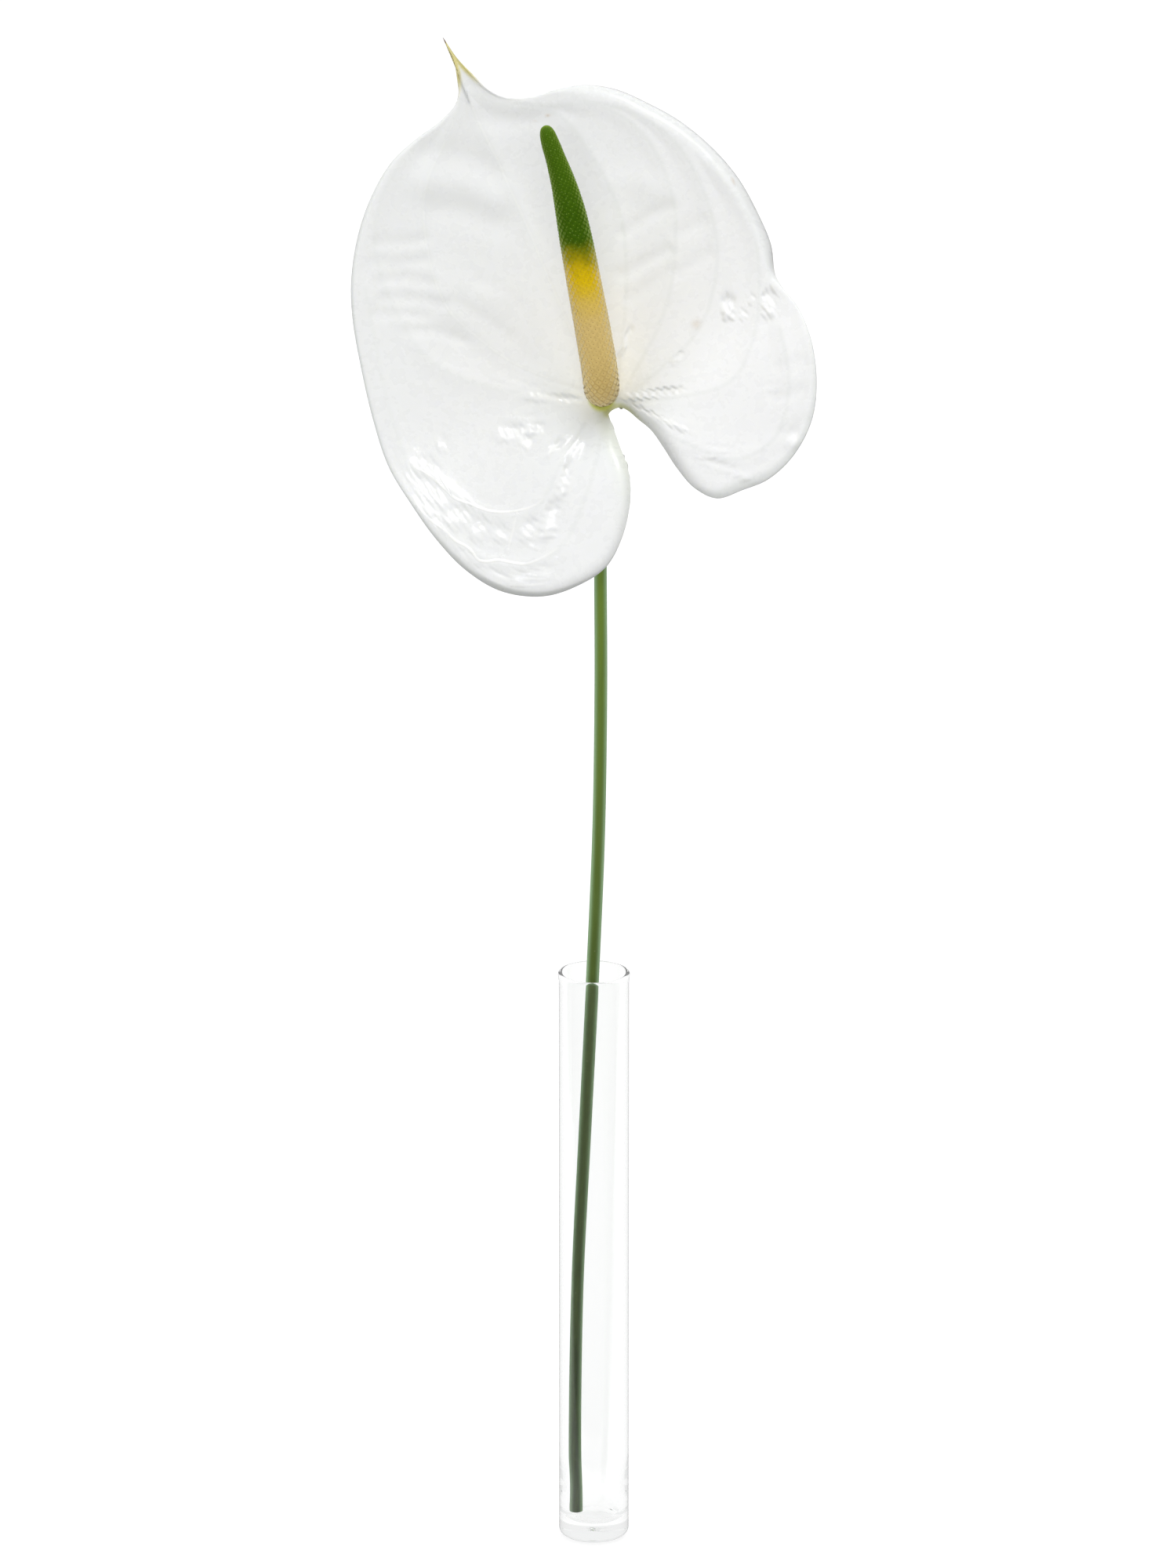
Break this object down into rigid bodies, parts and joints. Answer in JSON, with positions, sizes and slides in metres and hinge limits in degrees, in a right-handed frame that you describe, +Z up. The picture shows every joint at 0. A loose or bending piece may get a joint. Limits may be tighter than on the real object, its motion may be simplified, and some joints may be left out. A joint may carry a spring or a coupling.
{
  "type": "anthurium in vase",
  "caption": "Cut white anthurium flower with a heart-shaped spathe and a tapering spadix on a long green stem, standing in a slim clear glass tube vase.",
  "frame": {"origin": "centre of the vase's underside", "axes": "+Z up along the vase, the flower faces -Y, and +X is to the right of someone who looks at its face"},
  "size_m": [0.1567, 0.1197, 0.5154],
  "materials": {
    "vase": "clear polished glass",
    "stem": "satin green stalk",
    "spathe": "waxy gloss white",
    "spadix": "matte florets, beige at the foot, yellow in the middle and dark green to the tip"
  },
  "bodies": {
    "root": {"vase": "vase", "stem": "stem", "spathe": "spathe", "spadix": "spadix"}
  },
  "joints": []
}
